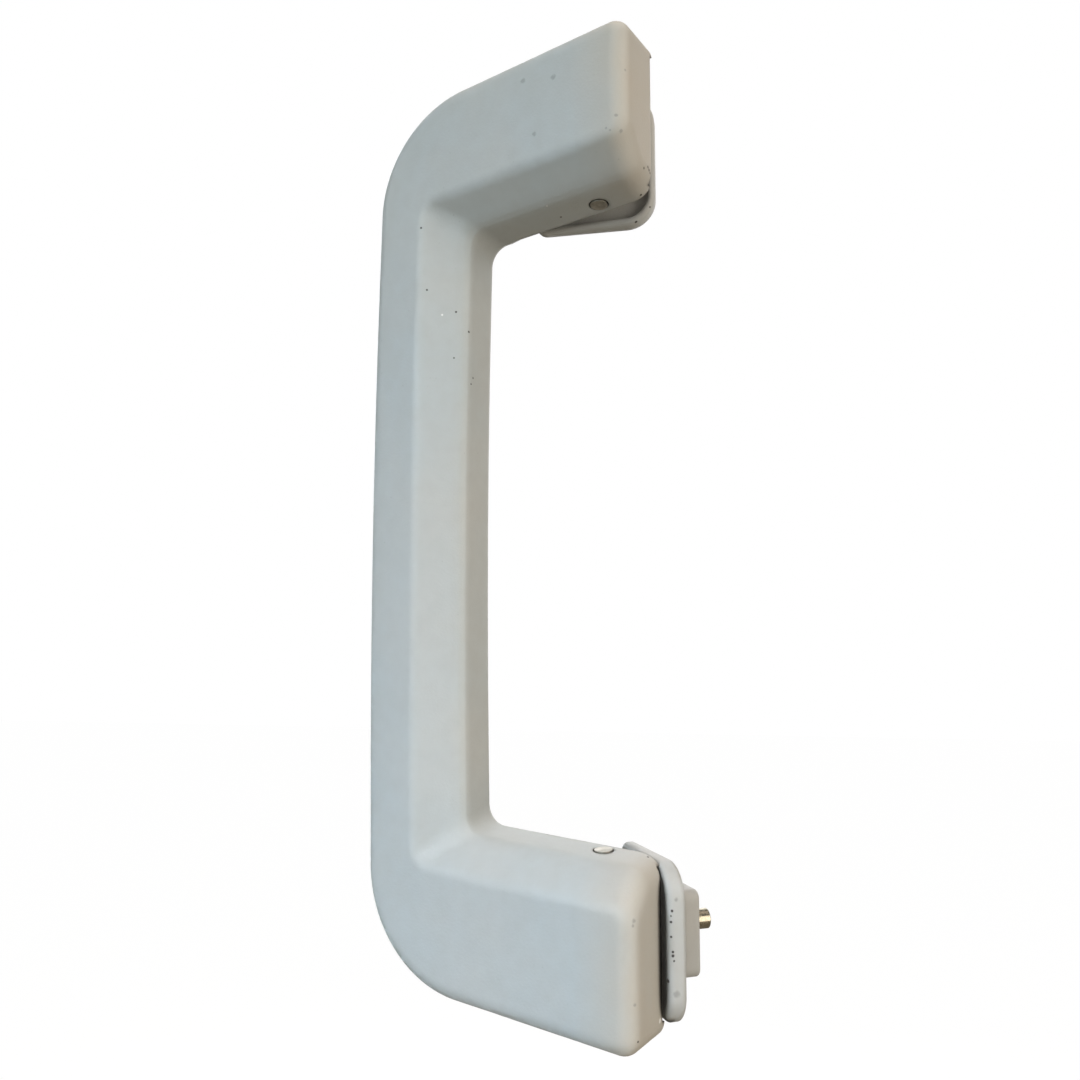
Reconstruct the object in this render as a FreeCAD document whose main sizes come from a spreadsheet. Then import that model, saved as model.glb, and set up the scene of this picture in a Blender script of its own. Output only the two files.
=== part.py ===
import FreeCAD, Part

import math
import os
import re

import Sketcher

# Swing-down roof grab handle. Millimetres, +Z up.
# The grip stands upright: a bar at -X and two arms that run to +X, to the mounting bases.
# Every base, pin, spring and damper is laid out about its own hinge axis, which is parallel to Z.
# The origin is on the upper screw's axis, in the plane where the upper boss meets the car body.

# Driving dimensions, each with the words that explain it
DIMENSIONS = [
    # grip
    ("grip_half_length", 107.2, "hinge mid-plane to the arm's outer face, at its front end"),
    ("outer_splay", 0.06, "how far the arms' outer faces open out per mm of reach"),
    ("inner_splay", 0.05, "how far the arms' inner faces open out per mm of reach"),
    ("outer_draft", 2.8, "how much wider the U is at its back than in front, on each side"),
    ("front_lean", 0.75, "how far the front face sits lower than the hinge mid-plane"),
    ("grip_front", 14.0, "front face to the hinge axis"),
    ("bar_back", 5.5, "hinge axis to the back of the bar"),
    ("rim_back", 3.2, "hinge axis to the open rim of an arm end"),
    ("bar_reach", 54.8, "hinge axis to the bar's outer side, in front"),
    ("rim_inset", 30.8, "bar's outer side to the start of the slope from rim to bar back"),
    ("slope_run", 6.0, "run of that slope along the arm"),
    ("end_reach_front", 14.4, "hinge axis to the end face, at the front"),
    ("end_reach_back", 12.1, "hinge axis to the end face, at the back"),
    ("bar_front_width", 13.4, "bar's front face, across"),
    ("arm_front_width", 29.9, "arm's front face, across"),
    ("chamfer_front", 6.5, "back ridge of the chamfer to the hinge axis"),
    ("bar_chamfer_width", 9.4, "run of the bar's chamfer across the bar"),
    ("arm_chamfer_width", 6.0, "run of an arm's chamfer across the arm"),
    ("bar_wall_draft", 1.2, "run of the bar's inner wall across the bar"),
    ("arm_wall_draft", 1.2, "run of an arm's inner wall across the arm"),
    ("outer_bow", 2.6, "how far the bar's outer side is bowed"),
    ("inner_bow", 1.6, "how far the bar's inner side is bowed"),
    ("outer_corner", 27.0, "radius of the U's outer corners"),
    ("end_corner_front", 3.7, "radius of the arm end's outer corner, in front"),
    ("end_corner_back", 4.2, "radius of the arm end's outer corner, at the back"),
    ("ridge_corner", 3.0, "radius of the chamfer's front corner"),
    ("inner_corner", 5.0, "radius of the finger gap's corners"),
    ("front_round", 3.5, "rounding of the front edges"),
    ("back_round", 3.0, "rounding of the bar's outer back edge"),
    ("gap_round", 2.2, "rounding of the finger gap's back edge"),
    ("ridge_soft", 2.0, "half width of the curve that softens the chamfer's back ridge"),
    ("end_round", 5.0, "rounding of the arm end's inner corner"),
    ("grip_wall", 2.5, "wall of the hollow arm ends"),
    ("hollow_corner", 3.0, "corner radius of the hollow"),
    ("notch_margin", 5.0, "near end of the rim's notch to the near ear"),
    ("notch_length", 31.0, "length of the rim's notch"),
    ("notch_depth", 1.3, "depth of the notch in the end wall's rim"),
    ("boss_radius", 4.0, "pin bosses in the arm"),
    ("upper_boss_inset", 3.6, "arm's outer face to the upper arm's outer pin boss"),
    ("lower_boss_inset", 2.0, "arm's outer face to the lower arm's outer pin boss"),
    ("pin_seat", 2.6, "depth of the outer pin hole in its boss"),
    ("boss_root", 0.4, "how far a boss reaches past the bottom of its hole"),
    ("groove_radius", 2.3, "ring groove about the inner pin's end"),
    ("groove_depth", 1.0, "depth of that groove from the arm's inner wall"),
    # mounting base, about its hinge axis
    ("rest_turn", 21.0, "turn of the closed grip against its base, degrees"),
    ("hang_turn", 60.0, "turn by which the lower base hangs from its closed place, degrees"),
    ("lower_drop", 2.7, "how far the lower base hangs down along its pins"),
    ("seat_depth", 13.2, "hinge axis to the back of the tray"),
    ("tray_end_reach", 12.0, "hinge axis to the tray's end side"),
    ("tray_bar_reach", 17.4, "hinge axis to the tray's bar side"),
    ("tray_near_length", 16.4, "screw's axis to the tray's near side"),
    ("tray_far_length", 16.1, "screw's axis to the tray's far side"),
    ("rim_height_end", 3.9, "height of the tray's rim at the end side"),
    ("rim_height_bar", 2.0, "height of the tray's rim at the bar side"),
    ("tray_corner_end", 7.0, "corner radius at the tray's end side"),
    ("tray_corner_bar", 3.0, "corner radius at the tray's bar side"),
    ("tray_round", 1.2, "rounding of the rim's outer edge"),
    ("tray_wall", 1.5, "wall and floor of the tray"),
    ("relief_start", 2.5, "hinge axis to the opening in the tray's far wall"),
    ("relief_end", 9.5, "hinge axis to that opening's end side"),
    ("screw_offset", 7.0, "hinge axis to the screw's axis, towards the bar"),
    ("screw_inset", 19.4, "arm's outer face to the screw's axis"),
    ("mount_height", 10.6, "height of the mounting boss behind the tray"),
    ("neck_half_width", 4.6, "half width of the boss's neck"),
    ("neck_half_length", 7.2, "half length of the boss's neck"),
    ("plate_half_width", 5.2, "half width of the boss's head plate"),
    ("plate_near_length", 7.6, "screw's axis to the head plate's near end"),
    ("plate_far_length", 11.2, "screw's axis to the head plate's far end"),
    ("plate_height", 4.2, "height of the boss's head plate"),
    ("plate_corner", 2.0, "corner radius of boss and head plate"),
    ("plate_round", 0.8, "rounding of the head plate's edges"),
    ("hub_radius", 3.8, "round top of an ear"),
    ("gusset_foot", 9.0, "hinge axis to an ear's foot, towards the bar"),
    ("gusset_back", 0.8, "hinge axis to an ear's upright edge"),
    ("gusset_bend", 8.0, "hinge axis to the top of the upright edge"),
    ("near_ear_offset", 8.2, "screw's axis to the near ear's near side"),
    ("near_ear_width", 2.8, "thickness of the near ear"),
    ("far_ear_offset", 5.8, "screw's axis to the far ear's near side"),
    ("far_ear_width", 3.0, "thickness of the far ear"),
    ("stop_gap", 0.3, "ear to the stop rib in the closed grip"),
    ("ear_gap", 0.3, "ear to the grip's inner pin boss"),
    ("rib_width", 3.2, "width of a stop rib at its root"),
    ("rib_inset", 0.2, "how far a stop rib keeps inside its ear's thickness"),
    # pins
    ("pin_radius", 2.0, "hinge pins"),
    ("pin_play", 0.05, "radial play of a pin in an ear"),
    ("pin_overrun", 0.2, "how far a pin passes the near ear"),
    ("pin_proud", 0.2, "how far the inner pin stands out of its groove"),
    ("pin_head_radius", 3.0, "head of the outer pin"),
    ("pin_head_height", 0.7, "height of the outer pin's head"),
    ("pin_end_play", 0.1, "play at the ends of the outer pins"),
    # screw, sleeve and washer
    ("screw_radius", 2.95, "screw's thread"),
    ("tip_radius", 2.2, "screw's dog point"),
    ("tip_length", 4.1, "length of the dog point"),
    ("screw_length", 24.3, "screw below its head"),
    ("screw_head_radius", 4.8, "screw's head"),
    ("screw_head_height", 3.2, "height of the screw's head"),
    ("drive_width", 4.0, "width across the flats of the screw's drive"),
    ("drive_depth", 2.0, "depth of the screw's drive"),
    ("sleeve_outer", 4.0, "outer radius of the sleeve"),
    ("sleeve_inner", 3.2, "inner radius of the sleeve"),
    ("sleeve_play", 0.02, "radial play of the sleeve in its boss"),
    ("washer_outer", 5.0, "outer radius of the washer"),
    ("washer_inner", 3.05, "inner radius of the washer"),
    ("washer_height", 0.8, "thickness of the washer"),
    ("washer_play", 0.1, "radial play of the washer in its recess"),
    # return spring
    ("spring_wire", 0.5, "radius of the spring's wire"),
    ("spring_radius", 3.6, "mean radius of the spring"),
    ("spring_offset", 1.4, "far ear to the first coil's middle"),
    ("spring_height", 4.5, "first coil's middle to the last coil's"),
    ("spring_turns", 4, "full turns of the spring"),
    ("wire_sides", 8, "flats that stand for the wire's round"),
    ("spring_leg_turn", 300.0, "place of the moving leg in the grip, degrees"),
    ("spring_leg", 8.8, "length of the moving leg"),
    ("spring_gap", 0.3, "fixed leg to the tray's floor"),
    ("lug_gap", 0.1, "fixed leg to its lug"),
    ("lug_overhang", 0.6, "how much wider than the wire the lug is, on each side"),
    ("lug_width", 1.4, "width and height of the fixed leg's lug"),
    # rotary damper
    ("damper_outer", 4.6, "outer radius of the damper's housing"),
    ("damper_bore", 3.7, "bore of the damper's housing"),
    ("damper_gap", 0.3, "far ear to the housing"),
    ("damper_height", 4.5, "height of the housing"),
    ("damper_floor", 1.0, "floor of the housing"),
    ("lid_height", 0.8, "thickness of the damper's lid"),
    ("lid_spigot", 1.0, "height of the lid's spigot"),
    ("damper_play", 0.05, "radial play inside the damper"),
    ("rotor_radius", 3.3, "drum of the damper's rotor"),
    ("rotor_gap", 0.2, "housing's floor to the rotor's drum"),
    ("rotor_height", 2.0, "height of the drum"),
    ("vane_depth", 0.9, "depth of the drum's grease flutes"),
    ("seal_wire", 0.45, "radius of the seal's section"),
    ("seal_gap", 0.05, "seal to the bottom of its seat"),
    ("key_width", 2.0, "width of the housing's key"),
    ("key_depth", 1.2, "how far the key enters the ear"),
    ("key_reach", 2.6, "hinge axis to the key's inner side"),
    ("key_play", 0.05, "play of the key in the ear"),
    # drawing allowances
    ("overlap", 0.5, "how far joined forms reach into each other"),
    ("overrun", 1.0, "how far a cut passes the face that it starts from"),
]

NAMES = [row[0] for row in DIMENSIONS]

# Distances that follow from the driving dimensions
DERIVED = {
    # from the hinge axis, towards the bar
    "ridge_reach": "bar_reach - bar_front_width",
    "chamfer_reach": "ridge_reach - bar_chamfer_width",
    "inner_reach": "chamfer_reach + bar_wall_draft",
    "rim_reach": "bar_reach - rim_inset",
    # from the mid-plane
    "ridge_half_gap": "grip_half_length - arm_front_width",
    "chamfer_half_gap": "ridge_half_gap - arm_chamfer_width",
    "inner_half_gap": "chamfer_half_gap - arm_wall_draft",
    "screw_height": "grip_half_length - screw_inset",
    "tray_near": "screw_height - tray_near_length",
    "tray_far": "screw_height + tray_far_length",
    "near_ear_start": "screw_height - near_ear_offset",
    "near_ear_end": "near_ear_start + near_ear_width",
    "far_ear_start": "screw_height + far_ear_offset",
    "far_ear_end": "far_ear_start + far_ear_width",
    "notch_start": "near_ear_start - notch_margin",
    "notch_end": "notch_start + notch_length",
    "upper_boss_face": "grip_half_length - upper_boss_inset",
    "lower_boss_face": "grip_half_length - lower_boss_inset",
    "upper_pin_bottom": "upper_boss_face + pin_seat",
    "lower_pin_bottom": "lower_boss_face + pin_seat",
    "groove_top": "chamfer_half_gap + inner_splay * chamfer_reach + groove_depth",
    "spring_start": "far_ear_end + spring_offset",
    "damper_start": "far_ear_end + damper_gap",
    "damper_end": "damper_start + damper_height",
    "rotor_start": "damper_start + damper_floor + rotor_gap + lower_drop",
    "rotor_end": "rotor_start + rotor_height",
    # from the hinge axis, towards the car body
    "tray_floor": "seat_depth - tray_wall",
    "boss_top": "seat_depth + mount_height",
    "rim_end": "seat_depth - rim_height_end",
    "rim_bar": "seat_depth - rim_height_bar",
}

doc = FreeCAD.newDocument("grab_handle")
sheet = doc.addObject("Spreadsheet::Sheet", "Sizes")
for number, (alias, value, note) in enumerate(DIMENSIONS, start=1):
    sheet.set(f"A{number}", note)
    sheet.set(f"B{number}", str(value))
    sheet.setAlias(f"B{number}", alias)
doc.recompute()


def bound(text):
    """An expression in which each size's name reads its cell."""
    def cell(match):
        word = match.group()
        if word in DERIVED:
            return f"({bound(DERIVED[word])})"
        return "Sizes." + word if word in NAMES else word
    return re.sub(r"[a-z_]+", cell, text)


def number(text):
    """The value that an expression has now."""
    return float(sheet.evalExpression(bound(text)))


def new_body(name):
    body = doc.addObject("PartDesign::Body", name)
    body.Label = name
    return body


def new_sketch(body, name, plane, offset="0"):
    """A sketch on one of the body's own origin planes, moved along the plane's normal."""
    sketch = body.newObject("Sketcher::SketchObject", name)
    base = [f for f in body.Origin.OriginFeatures if f.Role == plane][0]
    sketch.AttachmentSupport = [(base, "")]
    sketch.MapMode = "FlatFace"
    sketch.setExpression("AttachmentOffset.Base.z", bound(offset))
    return sketch


def place(sketch, kind, item, point, text):
    index = sketch.addConstraint(Sketcher.Constraint(kind, item, point, number(text)))
    sketch.setExpression(f"Constraints[{index}]", bound(text))


def tangent_points(before, here, after, radius):
    """Where the rounding of a corner meets its two sides, as four expressions."""
    back = [f"(({b}) - ({h}))" for b, h in zip(before, here)]
    ahead = [f"(({a}) - ({h}))" for a, h in zip(after, here)]
    back_length = f"hypot({back[0]}; {back[1]})"
    ahead_length = f"hypot({ahead[0]}; {ahead[1]})"
    product = f"({back[0]} * {ahead[0]} + {back[1]} * {ahead[1]})"
    cosine = f"({product} / {back_length} / {ahead_length})"
    reach = f"(({radius}) * sqrt((1 + {cosine}) / (1 - {cosine})))"
    arrive = [f"({h}) + {s} * {reach} / {back_length}" for h, s in zip(here, back)]
    leave = [f"({h}) + {s} * {reach} / {ahead_length}" for h, s in zip(here, ahead)]
    return arrive, leave


def outline(sketch, corners):
    """A closed outline through corners (x, y) or (x, y, radius), each bound to the sizes."""
    count = len(corners)
    arrives, leaves = [], []
    for i, corner in enumerate(corners):
        if len(corner) < 3:
            arrive = leave = corner[:2]
        else:
            after = corners[(i + 1) % count]
            arrive, leave = tangent_points(corners[i - 1][:2], corner[:2], after[:2], corner[2])
        arrives.append(arrive)
        leaves.append(leave)

    def spot(texts):
        return FreeCAD.Vector(number(texts[0]), number(texts[1]), 0)

    lines = []
    for i in range(count):
        side = Part.LineSegment(spot(leaves[i]), spot(arrives[(i + 1) % count]))
        lines.append(sketch.addGeometry(side, False))
    for i, corner in enumerate(corners):
        before, after = lines[i - 1], lines[i]
        place(sketch, "DistanceX", after, 1, leaves[i][0])
        place(sketch, "DistanceY", after, 1, leaves[i][1])
        if len(corner) < 3:
            sketch.addConstraint(Sketcher.Constraint("Coincident", before, 2, after, 1))
            continue
        place(sketch, "DistanceX", before, 2, arrives[i][0])
        place(sketch, "DistanceY", before, 2, arrives[i][1])
        start, end, tip = spot(arrives[i]), spot(leaves[i]), spot(corner)
        radius = number(corner[2])
        inward = ((start - tip).normalize() + (end - tip).normalize()).normalize()
        centre = tip + inward * math.hypot(radius, (start - tip).Length)
        left_turn = (start - centre).cross(end - centre).z > 0
        first, last = (start, end) if left_turn else (end, start)
        angles = [math.atan2(p.y - centre.y, p.x - centre.x) for p in (first, last)]
        if angles[1] < angles[0]:
            angles[1] += 2 * math.pi
        ring = Part.Circle(centre, FreeCAD.Vector(0, 0, 1), radius)
        arc = sketch.addGeometry(Part.ArcOfCircle(ring, *angles), False)
        arrival = 1 if left_turn else 2
        sketch.addConstraint(Sketcher.Constraint("Coincident", arc, arrival, before, 2))
        sketch.addConstraint(Sketcher.Constraint("Coincident", arc, 3 - arrival, after, 1))
        index = sketch.addConstraint(Sketcher.Constraint("Radius", arc, radius))
        sketch.setExpression(f"Constraints[{index}]", bound(corner[2]))
    return sketch


def circle(sketch, x, y, radius):
    middle = FreeCAD.Vector(number(x), number(y), 0)
    ring = Part.Circle(middle, FreeCAD.Vector(0, 0, 1), number(radius))
    item = sketch.addGeometry(ring, False)
    index = sketch.addConstraint(Sketcher.Constraint("Radius", item, number(radius)))
    sketch.setExpression(f"Constraints[{index}]", bound(radius))
    place(sketch, "DistanceX", item, 3, x)
    place(sketch, "DistanceY", item, 3, y)
    return sketch


def loft(body, name, sketches, cut=False):
    kind = "PartDesign::SubtractiveLoft" if cut else "PartDesign::AdditiveLoft"
    feature = body.newObject(kind, name)
    feature.Profile = sketches[0]
    feature.Sections = sketches[1:]
    feature.Ruled = True
    doc.recompute()
    return feature


def rounded(body, name, radius, chosen):
    """A fillet on the edges of the body's tip for which chosen(edge) holds."""
    base = body.Tip
    names = []
    for i, edge in enumerate(base.Shape.Edges, start=1):
        if chosen(edge):
            names.append(f"Edge{i}")
    if not names:
        raise ValueError(f"{name}: no edge fits")
    feature = body.newObject("PartDesign::Fillet", name)
    feature.Base = (base, names)
    feature.setExpression("Radius", bound(radius))
    doc.recompute()
    return feature


def middle_of(edge):
    first, last = edge.ParameterRange
    return edge.valueAt((first + last) / 2)


def direction(edge):
    first, last = edge.ParameterRange
    return edge.tangentAt((first + last) / 2)


def extrusion(body, name, sketch, length, reverse, cut):
    feature = body.newObject("PartDesign::Pocket" if cut else "PartDesign::Pad", name)
    feature.Profile = sketch
    feature.setExpression("Length", bound(length))
    feature.Reversed = reverse
    doc.recompute()
    return feature


def prism(body, name, side, start, end, draw, cut=False):
    """Matter, or a cut, along Z between two distances from the mid-plane."""
    sketch = new_sketch(body, f"{name}_outline", "XY_Plane", f"{side} * ({start})")
    draw(sketch)
    return extrusion(body, name, sketch, f"({end}) - ({start})", cut == (side > 0), cut)


def block(body, name, start, end, draw, cut=False):
    """Matter, or a cut, along Y between two depths."""
    sketch = new_sketch(body, f"{name}_outline", "XZ_Plane", f"-({start})")
    draw(sketch)
    return extrusion(body, name, sketch, f"({end}) - ({start})", not cut, cut)


def through(body, name, sketch):
    """A cut through everything, both ways from the sketch."""
    feature = body.newObject("PartDesign::Pocket", name)
    feature.Profile = sketch
    feature.Type = "ThroughAll"
    feature.Midplane = True
    doc.recompute()
    return feature


def flat(corners):
    """Draws an outline through corners."""
    return lambda sketch: outline(sketch, corners)


def disc(radius, x="0", y="0"):
    """Draws a circle, about the hinge axis if no other place is given."""
    return lambda sketch: circle(sketch, x, y, radius)


def at_screw(side, radius):
    """Draws a circle about the screw's axis."""
    return disc(radius, "-screw_offset", f"{side} * screw_height")


def drop_of(side):
    """How far a base hangs out from the mid-plane along its pins."""
    return "0" if side > 0 else "lower_drop"


# The grip, about the hinge axis: bar towards -X, front face towards -Y


def outer_section(body, name, depth, end_reach, growth, end_corner):
    """The U's outer outline, closed across its mouth, at one depth."""
    sketch = new_sketch(body, name, "XZ_Plane", f"-({depth})")
    tip = f"grip_half_length + {growth}"
    reach = f"bar_reach + {growth}"
    corner = f"{tip} - outer_splay * ({reach} + {end_reach})"
    lean = f"front_lean * (1 - {share_at(depth)})"
    return outline(sketch, [
        (end_reach, f"-({tip}) - {lean}", end_corner),
        (f"-({reach})", f"-({corner}) - {lean}", "outer_corner"),
        (f"-({reach}) - outer_bow", f"-{lean}", f"0.6 * ({corner}) ^ 2 / outer_bow"),
        (f"-({reach})", f"{corner} - {lean}", "outer_corner"),
        (end_reach, f"{tip} - {lean}", end_corner),
    ])


def gap_section(body, name, depth, reach, half_gap, corner):
    """The finger gap's outline at one depth, open past the arms' ends."""
    sketch = new_sketch(body, name, "XZ_Plane", f"-({depth})")
    mouth = "2 * end_reach_front"
    wide = f"({half_gap}) + inner_splay * (({reach}) + {mouth})"
    return outline(sketch, [
        (mouth, f"-({wide})"),
        (f"-({reach})", f"-({half_gap})", corner),
        (f"-({reach}) - inner_bow", "0", f"0.8 * ({half_gap}) ^ 2 / inner_bow"),
        (f"-({reach})", half_gap, corner),
        (mouth, wide),
    ])


def wall_at(depth):
    """The bar's reach and the arm's half gap on the inner wall, at a depth behind the chamfer."""
    share = f"((({depth}) + chamfer_front) / (chamfer_front + bar_back))"
    reach = f"(chamfer_reach + (inner_reach - chamfer_reach) * {share})"
    half_gap = f"(chamfer_half_gap + (inner_half_gap - chamfer_half_gap) * {share})"
    return reach, half_gap


def chamfer_at(depth):
    """The same on the chamfer, at a depth before its back ridge."""
    share = f"((-chamfer_front - ({depth})) / (grip_front - chamfer_front))"
    reach = f"(chamfer_reach + (ridge_reach - chamfer_reach) * {share})"
    half_gap = f"(chamfer_half_gap + (ridge_half_gap - chamfer_half_gap) * {share})"
    return reach, half_gap


def ridge_curve(way):
    """Depth, reach and half gap on the curve over the chamfer's back ridge, way from 0 to 1."""
    points = [chamfer_at("-chamfer_front - ridge_soft"), chamfer_at("-chamfer_front"),
              wall_at("-chamfer_front + ridge_soft")]
    shares = (f"(1 - {way}) ^ 2", f"2 * {way} * (1 - {way})", f"{way} ^ 2")
    reach, half_gap = [" + ".join(f"{s} * {p[i]}" for s, p in zip(shares, points))
                       for i in (0, 1)]
    return f"-chamfer_front + ridge_soft * (2 * {way} - 1)", f"({reach})", f"({half_gap})"


def share_at(depth):
    """How far back a depth is, from 0 at the front face to 1 at the bar's back."""
    return f"((({depth}) + grip_front) / (grip_front + bar_back))"


def end_at(depth):
    """The end face's reach at a depth."""
    return f"(end_reach_front + (end_reach_back - end_reach_front) * {share_at(depth)})"


def hollow_section(body, name, side, depth, near, wall):
    """The hollow's outline inside an arm, its near side a wall's thickness off the finger gap."""
    sketch = new_sketch(body, name, "XZ_Plane", f"-({depth})")
    reach, half_gap = near
    left = "-rim_reach"
    right = f"({end_at(depth)} - grip_wall)"
    corners = []
    for x in (left, right):
        corners.append((x, f"{half_gap} + inner_splay * ({x} + {reach}) + {wall}"))
    for x in (right, left):
        share = share_at(depth)
        outer = (f"grip_half_length + outer_draft * {share}"
                 f" - {side} * front_lean * (1 - {share})")
        corners.append((x, f"{outer} - outer_splay * ({end_at(depth)} - {x}) - grip_wall"))
    return outline(sketch, [(x, f"{side} * ({z})", "hollow_corner") for x, z in corners])


def turned(x, y, degrees):
    """A point turned about the hinge axis."""
    return (f"({x}) * cos({degrees}) - ({y}) * sin({degrees})",
            f"({x}) * sin({degrees}) + ({y}) * cos({degrees})")


def stop_rib(body, name, side, start, end):
    """A rib in the hollow with one edge along the ear of the closed base."""
    run = "(gusset_foot - hub_radius)"
    rise = "(seat_depth - tray_wall)"
    length = f"hypot({run}; {rise})"

    def on_edge(share):
        x = f"-hub_radius - {share} * {run} - stop_gap * {rise} / {length}"
        y = f"{share} * {rise} - stop_gap * {run} / {length}"
        return turned(x, y, "rest_turn")

    top, rim = on_edge(0.1), on_edge(0.6)
    floor = "-grip_front + grip_wall - overlap"
    corners = [
        top, rim, (f"{rim[0]} - rib_width", rim[1]),
        (f"{top[0]} - rib_width", floor), (f"{top[0]} - overlap", floor),
    ]
    prism(body, name, side, start, end, lambda sketch: outline(sketch, corners))


def make_grip():
    body = new_body("grip")
    front = outer_section(body, "outer_front", "-grip_front", "end_reach_front", "0",
                          "end_corner_front")
    back = outer_section(body, "outer_back", "bar_back", "end_reach_back", "outer_draft",
                         "end_corner_back")
    loft(body, "outer_form", [front, back])

    # both hollow arm ends, with their pin bosses and stop ribs
    floor = "-grip_front + grip_wall"
    knee = "-chamfer_front + 0.4 * grip_wall"
    slant = "hypot(arm_chamfer_width; grip_front - chamfer_front) / (grip_front - chamfer_front)"
    for side, arm in ((1, "upper"), (-1, "lower")):
        loft(body, f"{arm}_hollow", [
            hollow_section(body, f"{arm}_hollow_floor", side, floor, chamfer_at(floor),
                           f"grip_wall * {slant}"),
            hollow_section(body, f"{arm}_hollow_knee", side, knee, wall_at(knee), "grip_wall"),
            hollow_section(body, f"{arm}_hollow_rim", side, "bar_back + overrun",
                           wall_at("bar_back + overrun"), "grip_wall"),
        ], cut=True)
        drop = drop_of(side)
        boss = disc("boss_radius")
        prism(body, f"{arm}_near_boss", side, "inner_half_gap", "near_ear_start - ear_gap", boss)
        prism(body, f"{arm}_far_boss", side, f"{arm}_boss_face",
              f"{arm}_pin_bottom + boss_root", boss)
        for ear in ("near", "far"):
            stop_rib(body, f"{arm}_{ear}_rib", side, f"{ear}_ear_start + rib_inset + {drop}",
                     f"{ear}_ear_end - rib_inset + {drop}")

    # finger gap, with a wide soft chamfer in front
    front_overrun, back_overrun = "-grip_front - 2 * overrun", "bar_back + 2 * overrun"
    middle_corner = "(ridge_corner + inner_corner) / 2"
    sections = [
        gap_section(body, "gap_front", front_overrun, *chamfer_at(front_overrun), "ridge_corner"),
    ]
    for name, way in (("ridge_start", "0"), ("ridge_before", "0.33"), ("ridge_after", "0.67"),
                      ("ridge_end", "1")):
        sections.append(gap_section(body, name, *ridge_curve(way), middle_corner))
    sections.append(
        gap_section(body, "gap_back", back_overrun, *wall_at(back_overrun), "inner_corner"))
    loft(body, "finger_gap", sections, cut=True)

    # roundings, then the open backs of the arms
    def at_arm_end(edge):
        spot = middle_of(edge)
        return (spot.x > number("end_reach_back - overrun")
                and abs(spot.z) < number("ridge_half_gap + boss_radius")
                and abs(direction(edge).y) > 0.6)

    def at_depth(depth):
        return lambda edge: abs(middle_of(edge).y - number(depth)) < 0.01

    def behind_bar(edge):
        spot = middle_of(edge)
        return (at_depth("bar_back")(edge) and spot.x < number("-rim_reach")
                and (spot.x < number("-ridge_reach") or abs(spot.z) > number("ridge_half_gap")))

    rounded(body, "arm_end_rounding", "end_round", at_arm_end)
    rounded(body, "front_rounding", "front_round", at_depth("-grip_front"))
    profile = new_sketch(body, "rim_profile", "XY_Plane")
    outline(profile, [
        ("-rim_reach - slope_run", "bar_back"), ("-rim_reach", "rim_back"),
        ("2 * end_reach_front", "rim_back"), ("2 * end_reach_front", "2 * bar_back"),
        ("-rim_reach - slope_run", "2 * bar_back"),
    ])
    through(body, "open_backs", profile)
    rounded(body, "back_rounding", "back_round", behind_bar)

    # rounded back edge of the finger gap, in three steps
    start = "bar_back - gap_round"
    reach, half_gap = wall_at(start)
    sections = []
    for name, depth, flare in (("edge_before", -0.5, -0.13), ("edge_first", 0.5, 0.13),
                               ("edge_second", 0.87, 0.5), ("edge_past", 1.1, 1.36)):
        sections.append(gap_section(
            body, name, f"{start} + gap_round * {depth}", f"({reach} + gap_round * {flare})",
            f"({half_gap} + gap_round * {flare})", "inner_corner",
        ))
    loft(body, "gap_edge", sections, cut=True)

    # notch in each end rim, pin holes and the groove about the near pin's end
    for side, arm in ((1, "upper"), (-1, "lower")):
        inside, outside = "end_reach_back - 2 * grip_wall", "end_reach_front + overrun"
        low, high = "rim_back - notch_depth", "rim_back + overrun"
        notch = [(inside, low), (outside, low), (outside, high), (inside, high)]
        prism(body, f"{arm}_notch", side, "notch_start", "notch_end", flat(notch), cut=True)
        hole = disc("pin_radius")
        prism(body, f"{arm}_near_hole", side, "inner_half_gap - overrun", "near_ear_end", hole,
              cut=True)
        prism(body, f"{arm}_far_hole", side, f"{arm}_boss_face - overrun",
              f"{arm}_pin_bottom", hole, cut=True)
        prism(body, f"{arm}_groove", side, "inner_half_gap - overrun", "groove_top",
              disc("groove_radius"), cut=True)
    return body


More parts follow.
